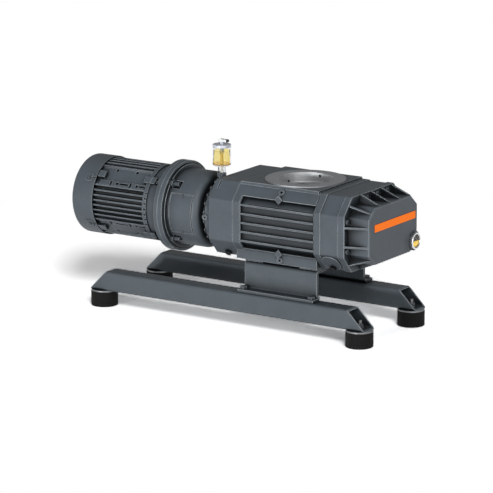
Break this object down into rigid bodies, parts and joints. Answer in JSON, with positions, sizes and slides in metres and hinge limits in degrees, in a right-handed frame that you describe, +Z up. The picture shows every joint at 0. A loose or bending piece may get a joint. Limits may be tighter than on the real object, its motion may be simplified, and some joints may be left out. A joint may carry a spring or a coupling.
{
  "type": "roots vacuum pump",
  "caption": "Roots vacuum pump on a rail stand: octagonal ribbed casing with lobed rotors, timing gear case, bell housing, flange motor and drip-feed oiler.",
  "frame": {"origin": "on the floor, midway between the four rubber feet", "axes": "+X along the pump axis from the motor to the gear case, +Z up, -Y the side of the drive shaft"},
  "size_m": [0.9745, 0.347, 0.491],
  "materials": {
    "pump_paint": "semi-gloss enamel on castings",
    "stand_paint": "satin enamel on rolled steel",
    "motor_paint": "semi-gloss enamel",
    "foot_rubber": "matt moulded",
    "zinc": "zinc plated",
    "painted_steel": "enamel over rolled steel",
    "black_screws": "black oxide",
    "rotor_iron": "machined",
    "ground_steel": "ground",
    "orange_film": "gloss film",
    "bezel": "turned",
    "pane": "clear",
    "seal_rubber": "moulded",
    "spider_rubber": "moulded elastomer",
    "hub_iron": "turned",
    "winding": "lacquered copper wire",
    "core_steel": "laminated",
    "fan_plastic": "moulded",
    "gland_plastic": "moulded",
    "oiler_glass": "clear, oil behind it",
    "oiler_metal": "turned",
    "oiler_lever_metal": "nickel plated"
  },
  "bodies": {
    "pump": {"rail_front": "stand_paint", "rail_rear": "stand_paint", "rubber_feet": "foot_rubber", "foot_plates": "zinc", "foot_nuts": "painted_steel", "bracket_front": "stand_paint", "bracket_rear": "stand_paint", "bracket_bolts": "painted_steel", "pump_foot_bolts": "painted_steel", "rotor_housing": "pump_paint", "motor_side_cover": "pump_paint", "gear_side_cover": "pump_paint", "cover_screws": "black_screws", "gear_case": "pump_paint", "gear_case_bolts": "painted_steel", "front_strip": "orange_film", "sight_bezel": "bezel", "sight_pane": "pane", "drain_plugs": "black_screws", "tapping_plugs": "black_screws", "outer_races": "ground_steel", "bearing_retainers": "ground_steel", "seal_flange": "pump_paint", "shaft_seals": "seal_rubber", "idler_cap": "ground_steel", "pump_end_bolts": "black_screws", "bell_housing": "pump_paint", "bell_covers": "pump_paint", "motor_studs": "painted_steel", "front_shield": "motor_paint", "motor_frame": "motor_paint", "rear_shield": "motor_paint", "tie_bolts": "painted_steel", "stator_core": "core_steel", "stator_windings": "winding", "fan_cowl": "motor_paint", "cowl_grille": "fan_plastic", "terminal_box": "motor_paint", "terminal_lid": "motor_paint", "cable_gland": "gland_plastic", "small_screws": "painted_steel", "oiler_stem": "oiler_metal", "oiler_glasses": "oiler_glass", "oiler_lid": "oiler_metal"},
    "drive_train": {"drive_rotor": "rotor_iron", "drive_gear": "ground_steel", "drive_gear_nut": "zinc", "drive_inner_races": "ground_steel", "pump_hub": "hub_iron", "coupling_spider": "spider_rubber", "motor_hub": "hub_iron", "motor_shaft": "ground_steel", "motor_rotor": "core_steel", "fan": "fan_plastic"},
    "idler_train": {"idler_rotor": "rotor_iron", "idler_gear": "ground_steel", "idler_gear_nut": "zinc", "idler_inner_races": "ground_steel", "oil_slinger": "ground_steel"},
    "toggle": {"oiler_lever": "oiler_lever_metal"}
  },
  "joints": [
    {"name": "drive_spin", "type": "hinge", "parent": "pump", "child": "drive_train", "pos_m": [0, -0.05, 0.292], "axis": [1, 0, 0], "continuous": true},
    {"name": "idler_spin", "type": "hinge", "parent": "pump", "child": "idler_train", "pos_m": [0, 0.05, 0.292], "axis": [1, 0, 0], "continuous": true},
    {"name": "oiler_toggle", "type": "hinge", "parent": "pump", "child": "toggle", "pos_m": [-0.078, -0.05, 0.487], "axis": [0, -1, 0], "range_deg": [0, 90]}
  ],
  "couplings": [
    {"joint": "idler_spin", "follows": "drive_spin", "ratio": -1}
  ]
}
